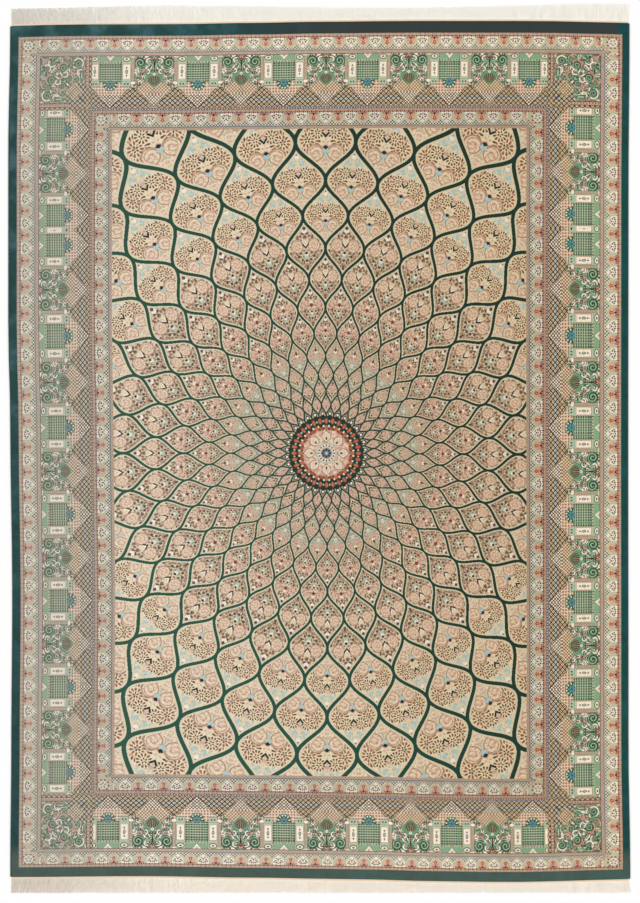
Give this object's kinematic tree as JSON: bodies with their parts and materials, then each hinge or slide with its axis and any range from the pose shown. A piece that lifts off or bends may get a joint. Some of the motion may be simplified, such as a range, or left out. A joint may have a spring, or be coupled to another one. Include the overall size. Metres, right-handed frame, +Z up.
{
  "type": "silk rug",
  "caption": "Rectangular hand-knotted silk rug laid flat, with slightly uneven edges, overcast side cords and a short fringe on both ends.",
  "frame": {"origin": "middle of the floor under the rug, halfway between the fringe tips and between the long edges", "axes": "+Z up through the pile, +Y along the rug towards its top end, +X across it towards its right edge"},
  "size_m": [2.508, 3.587, 0.005],
  "materials": {
    "silk_pile": "clipped silk pile, soft sheen, knotted pattern in green, ivory, salmon and rust",
    "selvedge_silk": "overcast dark green silk yarn",
    "fringe_silk": "cream silk warp ends and flat-woven end strip"
  },
  "bodies": {
    "root": {"carpet": "silk_pile", "selvedge_left": "selvedge_silk", "selvedge_right": "selvedge_silk", "fringe_top": "fringe_silk", "fringe_bottom": "fringe_silk"}
  },
  "joints": []
}
